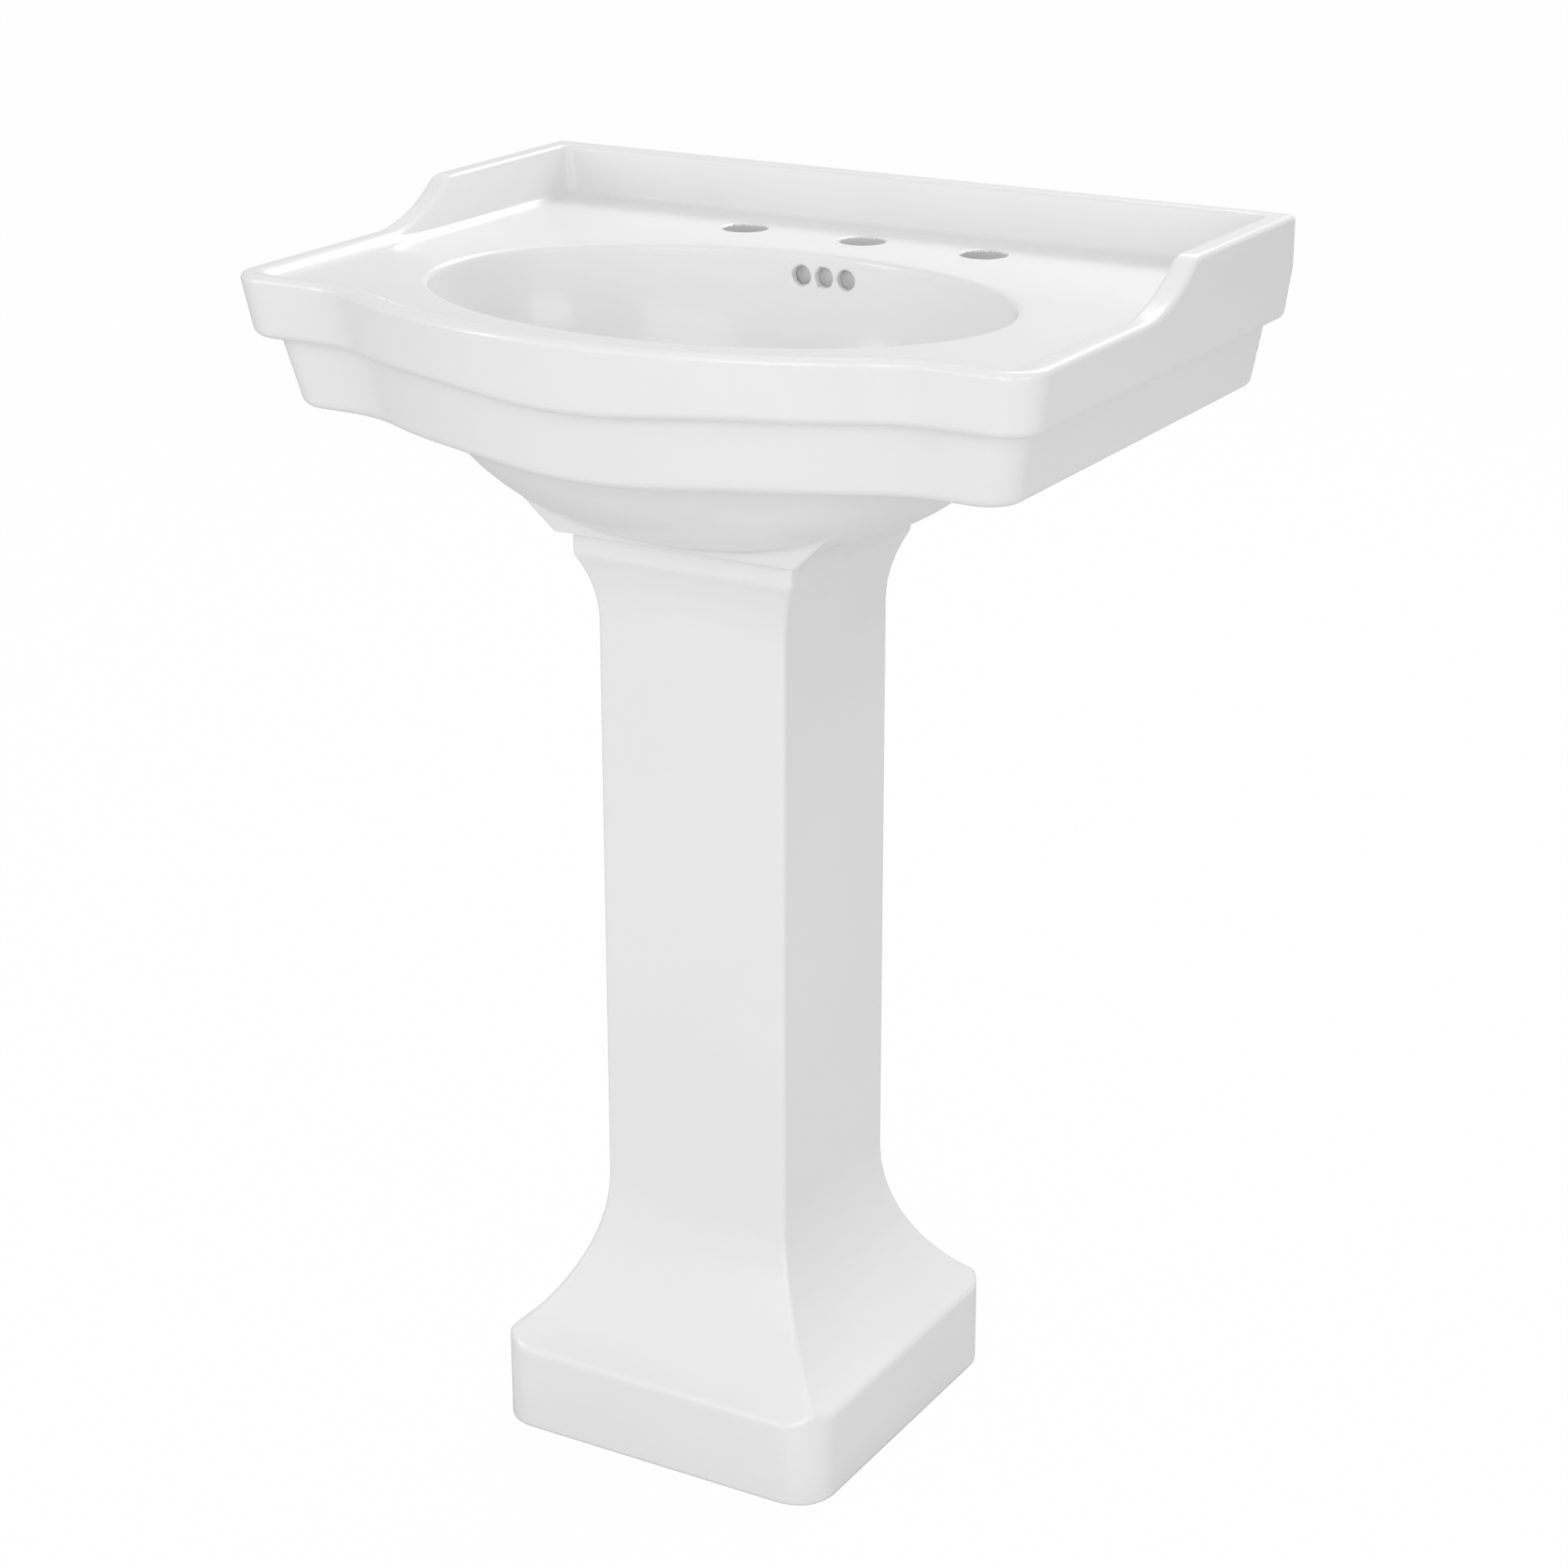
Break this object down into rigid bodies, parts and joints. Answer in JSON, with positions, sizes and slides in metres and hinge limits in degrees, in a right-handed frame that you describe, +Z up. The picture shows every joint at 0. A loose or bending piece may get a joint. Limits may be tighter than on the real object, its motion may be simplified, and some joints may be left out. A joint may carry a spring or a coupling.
{
  "type": "pedestal sink",
  "caption": "Traditional pedestal bathroom sink: bow-fronted china basin with splash-back and swept wings on a square flared column, with pop-up drain and trap.",
  "frame": {"origin": "on the floor under the middle of the basin, which is also the pedestal's centre line", "axes": "+Z up, +Y towards the wall behind the sink, +X to the user's right when facing the wall"},
  "size_m": [0.633, 0.4926, 0.92],
  "materials": {
    "china": "gloss",
    "chrome": "polished",
    "brass": "machined",
    "spring_steel": "drawn wire",
    "black_rubber": "matte",
    "white_plastic": "matte"
  },
  "bodies": {
    "sink": {"basin": "china", "pedestal": "china", "bearing_pads": "black_rubber", "drain_body": "chrome", "flange_seal": "black_rubber", "overflow_gasket": "black_rubber", "drain_washer": "white_plastic", "drain_nut": "brass", "tailpiece": "chrome", "plug_guide": "brass", "plug_spring": "spring_steel", "trap_bend": "chrome", "trap_arm": "chrome", "inlet_slip_washer": "white_plastic", "inlet_slip_nut": "chrome", "outlet_slip_washer": "white_plastic", "outlet_slip_nut": "chrome"},
    "plug": {"plug_cap": "chrome", "plug_seal": "black_rubber", "plug_stem": "brass"}
  },
  "joints": [
    {"name": "plug_slide", "type": "slide", "parent": "sink", "child": "plug", "axis": [0, 0, 1], "range_m": [-0.009, 0], "stiffness_N_per_m": 400, "springref_m": 0.006, "deforming": ["plug_spring"]}
  ]
}
